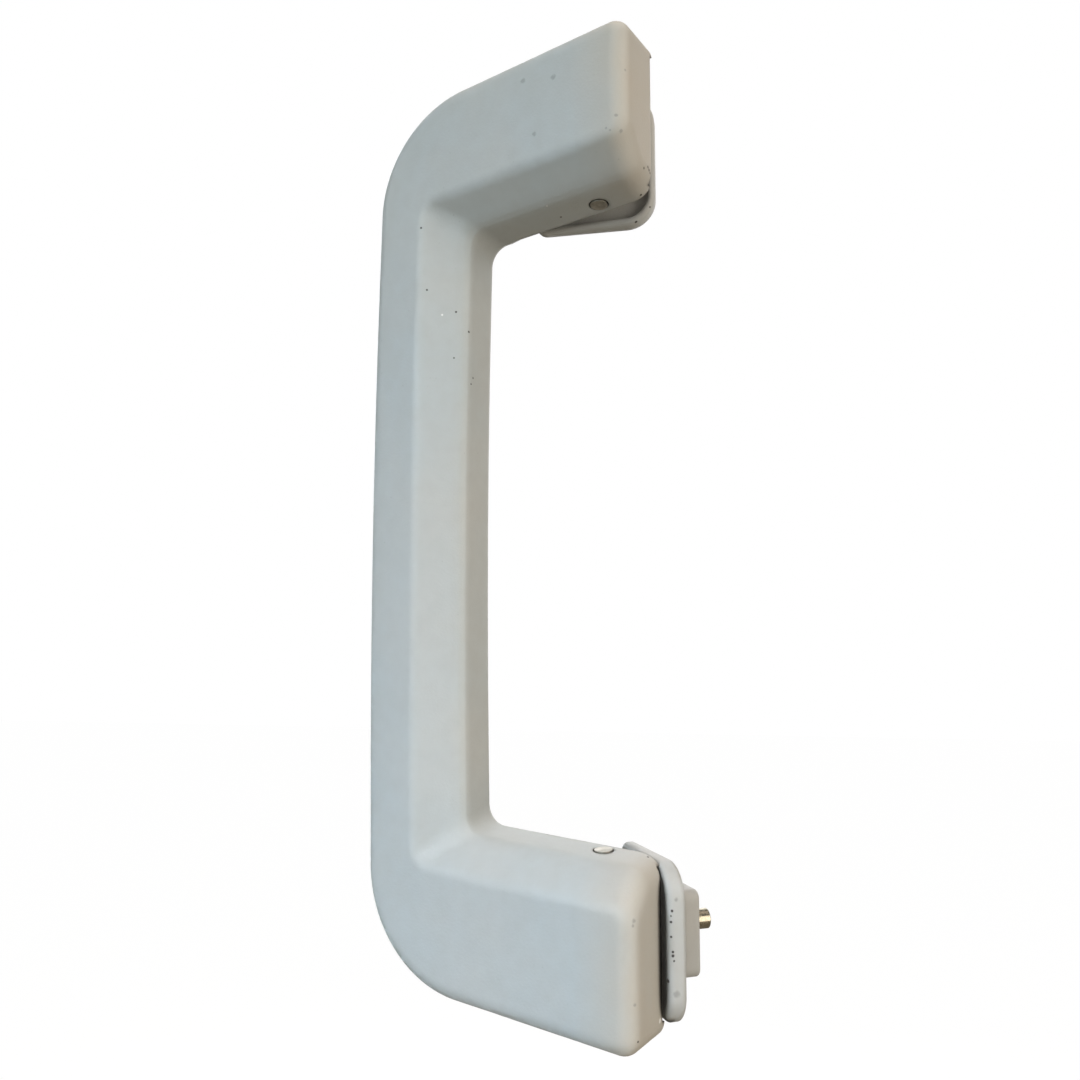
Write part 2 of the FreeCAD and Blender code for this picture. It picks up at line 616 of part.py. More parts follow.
# A mounting base, about its hinge axis: mounting boss towards +Y, bar side towards -X
def make_base(name, side):
    body = new_body(name)

    def tray_corners(inset):
        left, right = f"-tray_bar_reach + {inset}", f"tray_end_reach - {inset}"
        near, far = f"{side} * (tray_near + {inset})", f"{side} * (tray_far - {inset})"
        bar, end = f"tray_corner_bar - {inset}", f"tray_corner_end - {inset}"
        return [(left, near, bar), (right, near, end), (right, far, end), (left, far, bar)]

    block(body, "tray", "rim_end - overrun", "seat_depth", flat(tray_corners("0")))
    slope = new_sketch(body, "rim_slope", "XY_Plane")
    rise = "((rim_height_end - rim_height_bar) / (tray_end_reach + tray_bar_reach))"
    right, left = "tray_end_reach + overrun", "-tray_bar_reach - overrun"
    outline(slope, [
        (right, f"rim_end - overrun * {rise}"), (left, f"rim_bar + overrun * {rise}"),
        (left, "0"), (right, "0"),
    ])
    through(body, "sloped_rim", slope)

    def on_rim(edge):
        spot = middle_of(edge)
        rim = number("rim_end") + number(rise) * (number("tray_end_reach") - spot.x)
        return abs(spot.y - rim) < 0.01

    rounded(body, "rim_rounding", "tray_round", on_rim)
    block(body, "tray_hollow", "0", "tray_floor", flat(tray_corners("tray_wall")), cut=True)

    # opening in the far wall, through which the swinging arm end passes
    relief = [("relief_start", "0"), ("relief_end", "0"), ("relief_end", "tray_floor"),
              ("relief_start", "tray_floor")]
    prism(body, "swing_relief", side, "tray_far - tray_corner_end / 2", "tray_far + overrun",
          flat(relief), cut=True)

    # mounting boss with a head plate, undercut by its neck
    def boss_corners(half_width, near_length, far_length):
        left, right = f"-screw_offset - {half_width}", f"-screw_offset + {half_width}"
        near = f"{side} * (screw_height - {near_length})"
        far = f"{side} * (screw_height + {far_length})"
        corners = ((left, near), (right, near), (right, far), (left, far))
        return [(x, z, "plate_corner") for x, z in corners]

    block(body, "boss_neck", "tray_floor", "boss_top - plate_height / 2",
          flat(boss_corners("neck_half_width", "neck_half_length", "neck_half_length")))
    block(body, "boss_plate", "boss_top - plate_height", "boss_top",
          flat(boss_corners("plate_half_width", "plate_near_length", "plate_far_length")))
    rounded(body, "boss_rounding", "plate_round",
            lambda edge: abs(middle_of(edge).y - number("boss_top")) < 0.01)

    # two ears, each a round hub on a gusset that leans away from the swinging arm end
    gusset = [
        ("-hub_radius", "0"), ("hub_radius", "0"), ("hub_radius", "gusset_bend / 4"),
        ("-gusset_back", "gusset_bend"), ("-gusset_back", "tray_floor + overlap"),
        ("-gusset_foot", "tray_floor + overlap"), ("-gusset_foot", "tray_floor"),
    ]
    for ear in ("near", "far"):
        start, stop = f"{ear}_ear_start", f"{ear}_ear_end"
        prism(body, f"{ear}_gusset", side, start, stop, flat(gusset))
        prism(body, f"{ear}_hub", side, start, stop, disc("hub_radius"))
        prism(body, f"{ear}_eye", side, f"{start} - overrun", f"{stop} + overrun",
              disc("pin_radius + pin_play"), cut=True)

    # screw hole with its sleeve's seat, and the washer's recess in the tray floor
    block(body, "sleeve_hole", "0", "boss_top + overrun",
          at_screw(side, "sleeve_outer + sleeve_play"), cut=True)
    block(body, "washer_recess", "0", "tray_floor + washer_height",
          at_screw(side, "washer_outer + washer_play"), cut=True)
    if side > 0:
        # lug that the return spring's fixed leg bears on
        edge = "-spring_radius - spring_wire - lug_gap"
        top, root = "tray_floor - lug_width", "tray_floor + overlap"
        lug = [(f"{edge} - lug_width", top), (edge, top), (edge, root),
               (f"{edge} - lug_width", root)]
        prism(body, "spring_lug", side, "spring_start - spring_wire - lug_overhang",
              "spring_start + spring_wire + lug_overhang", flat(lug))
    else:
        # slot that holds the damper housing's key
        half, top = "(key_width / 2 + key_play)", "hub_radius + overrun"
        slot = [(f"-{half}", "key_reach - key_play"), (half, "key_reach - key_play"),
                (half, top), (f"-{half}", top)]
        prism(body, "key_slot", side, "far_ear_end - key_depth - key_play",
              "far_ear_end + overrun", flat(slot), cut=True)
    return body


# Hinge pins
def make_near_pin(name, side):
    """A plain pin whose outer end follows the slope of the arm's inner wall."""
    body = new_body(name)
    prism(body, "shank", side, "inner_half_gap", f"near_ear_end + pin_overrun + {drop_of(side)}",
          disc("pin_radius"))
    slope = new_sketch(body, "wall_slope", "YZ_Plane")
    corners = []
    for depth in ("-pin_radius - overrun", "pin_radius + overrun"):
        reach, half_gap = wall_at(depth)
        corners.append((depth, f"{side} * ({half_gap} + inner_splay * {reach} - pin_proud)"))
    low = f"{side} * (inner_half_gap - overrun)"
    outline(slope, corners + [("pin_radius + overrun", low), ("-pin_radius - overrun", low)])
    through(body, "sloped_end", slope)
    return body


def make_far_pin(name, side):
    """The pin through the far ear, headed on the screw's side."""
    body = new_body(name)
    under_head = "far_ear_start - pin_end_play"
    prism(body, "shank", side, f"{under_head} - pin_head_height / 2",
          "upper_pin_bottom - pin_end_play", disc("pin_radius"))
    prism(body, "head", side, f"{under_head} - pin_head_height", under_head,
          disc("pin_head_radius"))
    return body


# Mounting screw, sleeve and washer
def make_screw(name, side):
    body = new_body(name)
    tip = "boss_top + tip_length"
    under_head = f"{tip} - screw_length"
    block(body, "dog_point", "boss_top - overlap", tip, at_screw(side, "tip_radius"))
    block(body, "thread", f"{under_head} - overlap", "boss_top", at_screw(side, "screw_radius"))
    block(body, "head", f"{under_head} - screw_head_height", under_head,
          at_screw(side, "screw_head_radius"))

    def hexagon(sketch):
        corner = "drive_width / sqrt(3)"
        points = []
        for angle in range(0, 360, 60):
            points.append((f"-screw_offset + {corner} * cos({angle})",
                           f"{side} * screw_height + {corner} * sin({angle})"))
        return outline(sketch, points)

    block(body, "drive", f"{under_head} - screw_head_height - overrun",
          f"{under_head} - screw_head_height + drive_depth", hexagon, cut=True)
    return body


def make_ring(name, side, start, end, outer, inner):
    """A plain ring about the screw's axis."""
    body = new_body(name)
    block(body, "ring", start, end, at_screw(side, outer))
    block(body, "hole", f"{start} - overrun", f"{end} + overrun", at_screw(side, inner), cut=True)
    return body


# Return spring: close coils about the far pin, with a fixed and a moving leg
def make_spring(name):
    radius, wire = number("spring_radius"), number("spring_wire")
    start, height = number("spring_start"), number("spring_height")
    last = number("spring_leg_turn - rest_turn")
    turns = number("spring_turns") + (last - 180) / 360
    pitch = height / turns
    coil = Part.makeHelix(pitch, height, radius)
    coil.rotate(FreeCAD.Vector(0, 0, 0), FreeCAD.Vector(0, 0, 1), 180)
    coil.translate(FreeCAD.Vector(0, 0, start))

    def on_coil(degrees, z):
        angle = math.radians(degrees)
        spot = FreeCAD.Vector(radius * math.cos(angle), radius * math.sin(angle), z)
        along = FreeCAD.Vector(-math.sin(angle), math.cos(angle), pitch / (2 * math.pi * radius))
        return spot, along.normalize()

    first, first_way = on_coil(180, start)
    final, final_way = on_coil(last, start + height)
    fixed_leg = number("tray_floor - spring_gap")
    tip = first - first_way * fixed_leg
    path = Part.Wire([
        Part.makeLine(tip, first), *coil.Edges,
        Part.makeLine(final, final + final_way * number("spring_leg")),
    ])
    side = FreeCAD.Vector(0, 0, 1).cross(first_way).normalize()
    rise = first_way.cross(side)
    corners = []
    sides = int(number("wire_sides"))
    for step in range(sides + 1):
        angle = 2 * math.pi * step / sides
        corners.append(tip + side * (wire * math.cos(angle)) + rise * (wire * math.sin(angle)))
    spring = doc.addObject("Part::Feature", name)
    spring.Label = name
    spring.Shape = path.makePipeShell([Part.makePolygon(corners)], True, True)
    return spring


# Rotary damper: housing keyed to the far ear, rotor fixed in the grip
def make_damper(side):
    housing = new_body("damper_housing")
    prism(housing, "cup", side, "damper_start", "damper_end", disc("damper_outer"))
    half, top = "(key_width / 2)", "damper_bore"
    key = [(f"-{half}", "key_reach"), (half, "key_reach"), (half, top), (f"-{half}", top)]
    prism(housing, "key", side, "far_ear_end - key_depth", "damper_start + overlap", flat(key))
    prism(housing, "bore", side, "damper_start + damper_floor", "damper_end + overrun",
          disc("damper_bore"), cut=True)
    prism(housing, "shaft_hole", side, "damper_start - overrun", "damper_end",
          disc("pin_radius + damper_play"), cut=True)

    lid = new_body("damper_lid")
    prism(lid, "flange", side, "damper_end", "damper_end + lid_height", disc("damper_outer"))
    prism(lid, "spigot", side, "damper_end - lid_spigot", "damper_end + lid_height / 2",
          disc("damper_bore - damper_play"))
    prism(lid, "seal_seat", side, "damper_end - lid_spigot - overrun", "damper_end",
          disc("pin_radius + 2 * seal_wire + damper_play"), cut=True)
    prism(lid, "shaft_hole", side, "damper_end - overrun", "damper_end + lid_height + overrun",
          disc("pin_radius + damper_play"), cut=True)

    rotor = new_body("damper_rotor")
    prism(rotor, "shaft", side, "far_ear_start - pin_overrun + lower_drop",
          "lower_pin_bottom - pin_end_play", disc("pin_radius"))
    prism(rotor, "drum", side, "rotor_start", "rotor_end", disc("rotor_radius"))
    for name, way in (("first_flute", 1), ("second_flute", -1)):
        inside = f"{way} * (rotor_radius - vane_depth)"
        outside = f"{way} * (rotor_radius + overrun)"
        flute = [(inside, "-vane_depth"), (outside, "-vane_depth"), (outside, "vane_depth"),
                 (inside, "vane_depth")]
        prism(rotor, name, side, "rotor_start - overrun", "rotor_end + overrun", flat(flute),
              cut=True)

    seal = doc.addObject("Part::Torus", "damper_seal")
    seal.Label = "damper_seal"
    seal.setExpression("Radius1", bound("pin_radius + seal_wire + damper_play / 2"))
    seal.setExpression("Radius2", bound("seal_wire"))
    return housing, lid, rotor, seal


# Places: the upper base keeps the common directions, the grip and the lower base are turned
def set_place(item, turn, local_height="0"):
    hinge = ("screw_offset", "-boss_top", f"-screw_height + ({local_height})")
    for axis, text in zip("xyz", hinge):
        item.setExpression(f"Placement.Base.{axis}", bound(text))
    item.setExpression("Placement.Rotation.Angle", bound(turn))


def make_all():
    grip_parts = [
        make_grip(), make_near_pin("upper_inner_pin", 1), make_near_pin("lower_inner_pin", -1),
        make_far_pin("upper_outer_pin", 1),
    ]
    base_parts = {}
    for arm, side in (("upper", 1), ("lower", -1)):
        base_parts[arm] = [
            make_base(f"{arm}_base", side), make_screw(f"{arm}_screw", side),
            make_ring(f"{arm}_sleeve", side, "tray_floor + washer_height", "boss_top",
                      "sleeve_outer", "sleeve_inner"),
            make_ring(f"{arm}_washer", side, "tray_floor", "tray_floor + washer_height",
                      "washer_outer", "washer_inner"),
        ]
    base_parts["upper"].append(make_spring("return_spring"))
    housing, lid, rotor, seal = make_damper(-1)
    base_parts["lower"] += [housing, lid]
    grip_parts.append(rotor)
    for item in grip_parts:
        set_place(item, "-rest_turn")
    for item in base_parts["upper"]:
        set_place(item, "0")
    for item in base_parts["lower"]:
        set_place(item, "-hang_turn", "-lower_drop")
    set_place(seal, "-hang_turn", "-damper_end + seal_wire + seal_gap - lower_drop")
    doc.recompute()
    return grip_parts + base_parts["upper"] + base_parts["lower"] + [seal]


nodes = make_all()
for item in doc.Objects:
    if "Invalid" in item.State or "Error" in item.State:
        raise ValueError(f"{item.Label}: {item.State}")
os.makedirs("parts", exist_ok=True)
for item in nodes:
    if item.Shape.isNull() or not item.Shape.isValid():
        raise ValueError(f"{item.Label} has no sound shape")
    item.Shape.exportStep(f"parts/{item.Label}.step")
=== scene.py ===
import math

import bmesh
import bpy
from mathutils import Matrix, Vector
from mathutils.bvhtree import BVHTree


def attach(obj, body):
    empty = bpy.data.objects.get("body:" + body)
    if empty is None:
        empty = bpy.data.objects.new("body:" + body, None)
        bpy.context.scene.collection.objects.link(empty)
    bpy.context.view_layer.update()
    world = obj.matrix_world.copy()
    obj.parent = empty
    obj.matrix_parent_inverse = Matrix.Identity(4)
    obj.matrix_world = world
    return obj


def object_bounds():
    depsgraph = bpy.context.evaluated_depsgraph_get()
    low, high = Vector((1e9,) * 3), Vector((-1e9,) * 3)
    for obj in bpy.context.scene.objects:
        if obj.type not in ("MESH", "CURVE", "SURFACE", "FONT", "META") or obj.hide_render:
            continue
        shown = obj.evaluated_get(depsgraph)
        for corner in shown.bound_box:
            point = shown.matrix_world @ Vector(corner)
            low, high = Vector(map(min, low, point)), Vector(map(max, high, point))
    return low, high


# Roof grab handle: looks, small details, studio and camera, in metres, in the frame of the CAD.
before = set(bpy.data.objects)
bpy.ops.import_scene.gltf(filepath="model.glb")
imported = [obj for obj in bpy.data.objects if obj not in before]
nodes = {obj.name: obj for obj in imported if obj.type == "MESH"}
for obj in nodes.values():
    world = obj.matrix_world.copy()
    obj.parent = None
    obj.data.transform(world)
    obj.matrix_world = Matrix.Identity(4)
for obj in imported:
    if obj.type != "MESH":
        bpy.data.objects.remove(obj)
cad_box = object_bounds()
scene = bpy.context.scene

MM = 0.001
PHOTO_SIZE = 1080

# Camera, fitted to the photograph
CAMERA_PLACE = Vector((37.31, -231.45, -115.77)) * MM
CAMERA_AZIMUTH = math.radians(12.01)
CAMERA_RISE = math.radians(6.14)
FOCAL_PIXELS = 950.0
SENSOR_WIDTH = 36.0

# Places in the CAD, repeated from its source
HINGE = Vector((7.0, -23.8, -87.8)) * MM
REST_TURN = math.radians(-21)
HOLLOW_FLOOR = -11.5
SCREWS = {
    "upper_screw": (Vector((0, 0, 0)), Vector((0, 1, 0))),
    "lower_screw": (Vector((24.11, -5.84, -178.3)) * MM, Vector((0.866, 0.5, 0))),
}
THREAD_PITCH = 1.0 * MM
THREAD_LENGTH = 20.2 * MM
THREAD_START = 0.4 * MM
THREAD_FADE = 0.2 * MM


def in_grip(x, y, z):
    """A place given in millimetres about the hinge axis of the resting grip."""
    return HINGE + Matrix.Rotation(REST_TURN, 3, "Z") @ Vector((x, y, z)) * MM


# Camera
def add_camera():
    data = bpy.data.cameras.new("photo_camera")
    data.sensor_width = SENSOR_WIDTH
    data.lens = FOCAL_PIXELS / PHOTO_SIZE * SENSOR_WIDTH
    data.clip_start = 0.01
    data.clip_end = 50
    camera = bpy.data.objects.new("photo_camera", data)
    camera.location = CAMERA_PLACE
    camera.rotation_euler = (math.pi / 2 + CAMERA_RISE, 0, CAMERA_AZIMUTH)
    scene.collection.objects.link(camera)
    scene.camera = camera
    return camera


camera = add_camera()
bpy.context.view_layer.update()


def tree_of(*names):
    """One search tree over the meshes of some CAD nodes."""
    mesh = bmesh.new()
    for name in names:
        mesh.from_mesh(nodes[name].data)
    tree = BVHTree.FromBMesh(mesh)
    mesh.free()
    return tree


def seen_at(tree, x, y):
    """The point of a surface that the photograph shows at pixel (x, y)."""
    half = PHOTO_SIZE / 2
    ray = Vector(((x - half) / FOCAL_PIXELS, (half - y) / FOCAL_PIXELS, -1)).normalized()
    ray.rotate(camera.rotation_euler)
    return tree.ray_cast(CAMERA_PLACE, ray)[0]


# Material building blocks
class Finish:
    """A material, and short ways to add its nodes."""

    def __init__(self, name):
        self.material = bpy.data.materials.new(name)
        self.material.use_nodes = True
        self.tree = self.material.node_tree
        self.shader = self.tree.nodes["Principled BSDF"]
        self.place = self.node("ShaderNodeTexCoord").outputs["Object"]

    def node(self, kind, **settings):
        node = self.tree.nodes.new(kind)
        for key, value in settings.items():
            setattr(node, key, value)
        return node

    def link(self, source, target):
        self.tree.links.new(source, target)
        return target

    def feed(self, socket, value):
        if isinstance(value, bpy.types.NodeSocket):
            self.link(value, socket)
        elif socket.type == "RGBA":
            socket.default_value = (*value, 1) if len(value) == 3 else value
        else:
            socket.default_value = value

    def noise(self, scale, detail=3.0, roughness=0.55, at=None):
        node = self.node("ShaderNodeTexNoise")
        self.link(at or self.place, node.inputs["Vector"])
        self.feed(node.inputs["Scale"], scale)
        self.feed(node.inputs["Detail"], detail)
        self.feed(node.inputs["Roughness"], roughness)
        return node.outputs["Fac"]

    def cells(self, scale):
        node = self.node("ShaderNodeTexVoronoi")
        self.link(self.place, node.inputs["Vector"])
        self.feed(node.inputs["Scale"], scale)
        return node.outputs["Distance"]

    def ramp(self, value, low, high, to_low=0.0, to_high=1.0):
        node = self.node("ShaderNodeMapRange")
        self.feed(node.inputs["Value"], value)
        for name, number in (("From Min", low), ("From Max", high),
                             ("To Min", to_low), ("To Max", to_high)):
            self.feed(node.inputs[name], number)
        return node.outputs["Result"]

    def sums(self, operation, first, second):
        node = self.node("ShaderNodeMath", operation=operation)
        self.feed(node.inputs[0], first)
        self.feed(node.inputs[1], second)
        return node.outputs["Value"]

    def mix(self, share, first, second):
        node = self.node("ShaderNodeMix", data_type="RGBA")
        self.feed(node.inputs["Factor"], share)
        self.feed(node.inputs[6], first)
        self.feed(node.inputs[7], second)
        return node.outputs[2]

    def stretched(self, scale):
        """Object coordinates, stretched for streaks or brushing."""
        node = self.node("ShaderNodeMapping")
        self.link(self.place, node.inputs["Vector"])
        node.inputs["Scale"].default_value = scale
        return node.outputs["Vector"]

    def along(self, point, direction):
        """Distance from a point, measured along a direction."""
        offset = self.node("ShaderNodeVectorMath", operation="SUBTRACT")
        self.link(self.place, offset.inputs[0])
        offset.inputs[1].default_value = point
        product = self.node("ShaderNodeVectorMath", operation="DOT_PRODUCT")
        self.link(offset.outputs["Vector"], product.inputs[0])
        product.inputs[1].default_value = direction
        return product.outputs["Value"]

    def open_to_light(self, distance):
        """1 on open surfaces, lower in gaps and hollows."""
        node = self.node("ShaderNodeAmbientOcclusion", samples=6)
        self.feed(node.inputs["Distance"], distance)
        return node.outputs["AO"]

    def softened(self, radius):
        """A normal that turns gently over edges."""
        node = self.node("ShaderNodeBevel", samples=6)
        self.feed(node.inputs["Radius"], radius)
        return node.outputs["Normal"]

    def near(self, point, reach, wobble):
        """1 at a point of the surface, falling to 0 at its uneven reach."""
        node = self.node("ShaderNodeVectorMath", operation="DISTANCE")
        self.link(self.place, node.inputs[0])
        node.inputs[1].default_value = point
        uneven = self.ramp(wobble, 0, 1, -reach / 2, reach / 2)
        distance = self.sums("ADD", node.outputs["Value"], uneven)
        return self.ramp(distance, reach / 2, reach, 1, 0)

    def most(self, values):
        total = values[0]
        for value in values[1:]:
            total = self.sums("MAXIMUM", total, value)
        return total

    def bump(self, height, strength, distance, below=None):
        node = self.node("ShaderNodeBump")
        self.link(height, node.inputs["Height"])
        self.feed(node.inputs["Strength"], strength)
        self.feed(node.inputs["Distance"], distance)
        if below is not None:
            self.link(below, node.inputs["Normal"])
        return node.outputs["Normal"]

    def set(self, name, value):
        self.feed(self.shader.inputs[name], value)


def marks(finish, tree, spots, wobble):
    """Small marks at pixels of the photograph: (x, y, radius in mm)."""
    found = []
    for x, y, radius in spots:
        point = seen_at(tree, x, y)
        if point is not None:
            found.append(finish.near(point, radius * MM, wobble))
    return finish.most(found)


# Marks on the grip, as pixels of the photograph with a radius in mm
DARK_SPECKS = (
    (421, 228, 0.35), (427, 290, 0.3), (456, 312, 0.3), (469, 332, 0.35), (454, 358, 0.25),
    (473, 378, 0.3), (471, 384, 0.25), (561, 217, 0.3), (644, 168, 0.35), (648, 167, 0.4),
    (649, 170, 0.4), (650, 173, 0.3), (641, 195, 0.4), (648, 857, 0.35), (638, 1042, 0.3),
)
GREY_SCUFFS = (
    (634, 921, 0.5), (633, 926, 0.4), (616, 115, 0.5), (621, 131, 0.5), (625, 70, 0.35),
    (606, 128, 0.35), (610, 130, 0.3), (553, 77, 0.8), (523, 81, 0.8), (534, 134, 0.7),
    (635, 1005, 0.45),
)
PALE_SPECKS = ((547, 206, 0.22), (442, 315, 0.3), (660, 1021, 0.7))

# Marks on the bases
UPPER_BASE_SPECKS = ((636, 222, 0.4), (650, 207, 0.3))
LOWER_BASE_SPECKS = (
    (672, 911, 0.35), (671, 916, 0.25), (671, 922, 0.35), (671, 937, 0.3), (673, 952, 0.3),
    (673, 956, 0.4), (674, 961, 0.3), (668, 981, 0.5),
)
LOWER_BASE_SCUFFS = ((677, 994, 0.9), (676, 900, 0.5))


BEIGE = (0.48, 0.44, 0.375)
DUST = (0.12, 0.11, 0.10)
DEEP_SHADE = (0.045, 0.042, 0.036)
DIRT = (0.035, 0.032, 0.03)
SCUFF = (0.16, 0.16, 0.155)
BARE_CHIP = (0.8, 0.8, 0.78)
BEIGE_START, BEIGE_FULL = 1 * MM, 12 * MM


def moulded_grey(name, colour, tint, dark=None, scuffs=None, pale=None, beige_reach=None):
    """Light grey moulded plastic: fine spark-eroded grain, faint blotches, dirt and wear, and
    painted shade in gaps and hollows.
    """
    finish = Finish(name)
    base = finish.mix(finish.ramp(finish.noise(38, 2), 0.35, 0.7), colour, tint)
    mottle = finish.noise(260, 4)
    base = finish.mix(finish.ramp(mottle, 0.3, 0.75, 0, 0.5), base, [c * 0.88 for c in tint])
    # Beige towards the arm ends, in patches.
    if beige_reach is not None:
        beige_share = finish.ramp(beige_reach(finish), BEIGE_START, BEIGE_FULL, 0, 0.85)
        patches = finish.ramp(finish.noise(70, 2), 0.2, 0.7, 0.6, 1)
        base = finish.mix(finish.sums("MULTIPLY", beige_share, patches), base, BEIGE)
    dust = finish.ramp(finish.cells(410), 0.0, 0.09, 0.35, 0)
    dust = finish.sums("MULTIPLY", dust, finish.ramp(finish.noise(90, 1), 0.58, 0.66))
    base = finish.mix(dust, base, DUST)
    # Painted shade: gaps and hollows are darkened towards DEEP_SHADE by ambient occlusion, by up
    # to 88 percent.
    painted_hollow_shade = finish.ramp(finish.open_to_light(11 * MM), 0.15, 0.7, 0.88, 0)
    base = finish.mix(painted_hollow_shade, base, DEEP_SHADE)
    wobble = finish.noise(1700, 2)
    for mask, share, mark_colour in ((dark, 1.0, DIRT), (scuffs, 0.45, SCUFF),
                                     (pale, 1.0, BARE_CHIP)):
        if mask is not None:
            cover = finish.sums("MULTIPLY", marks(finish, *mask, wobble), share)
            base = finish.mix(cover, base, mark_colour)
    finish.set("Base Color", base)
    grain = finish.noise(3800, 2, 0.7)
    finish.set("Roughness", finish.ramp(grain, 0.3, 0.7, 0.46, 0.62))
    finish.set("IOR", 1.5)
    height = finish.sums("ADD", grain, finish.sums("MULTIPLY", finish.cells(1500), 0.8))
    waves = finish.bump(finish.noise(120, 2), 0.06, 0.6 * MM, finish.softened(1.4 * MM))
    finish.set("Normal", finish.bump(height, 0.3, 0.08 * MM, waves))
    return finish.material


def metal(name, colour, stain, roughness, brushed):
    """Plated or plain steel with turning marks, faint stains and painted shade in hollows."""
    finish = Finish(name)
    streak = finish.noise(1.0, 2, 0.6, at=finish.stretched(brushed))
    base = finish.mix(finish.ramp(finish.noise(420, 3), 0.4, 0.72), colour, stain)
    # Painted shade: hollows are darkened by ambient occlusion towards a dark copy of the stain
    # colour.
    painted_hollow_shade = finish.ramp(finish.open_to_light(4 * MM), 0.1, 0.5, 0.5, 0)
    finish.set("Base Color", finish.mix(painted_hollow_shade, base, [c * 0.3 for c in stain]))
    finish.set("Metallic", 1.0)
    finish.set("Roughness", finish.ramp(streak, 0.3, 0.7, roughness - 0.08, roughness + 0.1))
    finish.set("Normal", finish.bump(streak, 0.12, 0.04 * MM, finish.softened(0.25 * MM)))
    return finish


def threaded_zinc(name, point, axis):
    """Pale yellow zinc with a rolled thread below the screw's dog point."""
    finish = metal(name, (0.36, 0.33, 0.26), (0.22, 0.20, 0.14), 0.24, (2500, 2500, 2500))
    height = finish.along(point, axis)
    across = finish.along(point, axis.cross(Vector((0, 0, 1))))
    turn = finish.sums("ARCTAN2", across, finish.along(point, Vector((0, 0, 1))))
    phase = finish.sums("ADD", finish.sums("DIVIDE", height, THREAD_PITCH),
                        finish.sums("DIVIDE", turn, 2 * math.pi))
    flank = finish.sums("PINGPONG", phase, 0.5)
    below_tip = finish.ramp(height, -THREAD_START, THREAD_FADE - THREAD_START, 1, 0)
    above_head = finish.ramp(height, -THREAD_LENGTH, THREAD_FADE - THREAD_LENGTH, 0, 1)
    thread = finish.sums("MULTIPLY", flank, finish.sums("MULTIPLY", below_tip, above_head))
    plain = finish.shader.inputs["Normal"].links[0].from_socket
    finish.set("Normal", finish.bump(thread, 1.0, 1.0 * MM, plain))
    return finish.material


def dark_plastic(name, colour):
    """Black moulded plastic of the damper."""
    finish = Finish(name)
    grain = finish.noise(2600, 3)
    finish.set("Base Color", finish.mix(finish.ramp(finish.noise(300, 2), 0.3, 0.7), colour,
                                        [c * 1.6 for c in colour]))
    finish.set("Roughness", finish.ramp(grain, 0.3, 0.7, 0.38, 0.52))
    finish.set("Normal", finish.bump(grain, 0.1, 0.05 * MM))
    return finish.material


def dress(node_name, material):
    """Gives a CAD node its finished material in all of its slots."""
    mesh = nodes[node_name].data
    mesh.materials.clear()
    mesh.materials.append(material)


def arm_end(finish):
    """Distance past the hinge axis, towards the arm ends."""
    return finish.along(HINGE, Vector((math.cos(REST_TURN), math.sin(REST_TURN), 0)))


handle_tree = tree_of("grip")
upper_tree, lower_tree = tree_of("upper_base"), tree_of("lower_base")
GREY, GREY_TINT = (0.45, 0.485, 0.485), (0.475, 0.49, 0.475)
BASE_GREY, BASE_TINT = (0.46, 0.475, 0.465), (0.485, 0.48, 0.455)
FINISHES = {
    "grip": moulded_grey("grip_moulded_grey", GREY, GREY_TINT, (handle_tree, DARK_SPECKS),
                         (handle_tree, GREY_SCUFFS), (handle_tree, PALE_SPECKS), arm_end),
    "upper_base": moulded_grey("upper_base_grey", BASE_GREY, BASE_TINT,
                               (upper_tree, UPPER_BASE_SPECKS)),
    "lower_base": moulded_grey("lower_base_grey", BASE_GREY, BASE_TINT,
                               (lower_tree, LOWER_BASE_SPECKS), (lower_tree, LOWER_BASE_SCUFFS)),
    "return_spring": metal("spring_oiled_steel", (0.20, 0.20, 0.21), (0.12, 0.12, 0.12), 0.36,
                           (3000, 3000, 3000)).material,
    "damper_seal": dark_plastic("seal_rubber", (0.012, 0.012, 0.012)),
}
for screw, (point, axis) in SCREWS.items():
    FINISHES[screw] = threaded_zinc(f"{screw}_yellow_zinc", point, axis)
pin_steel = metal("pin_satin_steel", (0.50, 0.48, 0.43), (0.26, 0.25, 0.21), 0.48,
                  (1400, 1400, 1400)).material
sleeve_zinc = metal("sleeve_zinc", (0.60, 0.56, 0.47), (0.42, 0.38, 0.28), 0.34,
                    (2500, 2500, 2500)).material
damper_black = dark_plastic("damper_black", (0.018, 0.018, 0.02))

for node_name in nodes:
    if node_name in FINISHES:
        dress(node_name, FINISHES[node_name])
    elif node_name.endswith("_pin") or node_name.endswith("_washer"):
        dress(node_name, pin_steel)
    elif node_name.endswith("_sleeve"):
        dress(node_name, sleeve_zinc)
    else:
        dress(node_name, damper_black)


# Ejector marks: flat discs, slightly proud, on the floor of each hollow arm end
EJECTOR_RADIUS = 1.5
EJECTOR_HEIGHT = 0.3
EJECTOR_PLACES = ((-17, 90), (-17, 101), (5, 90), (5, 101))


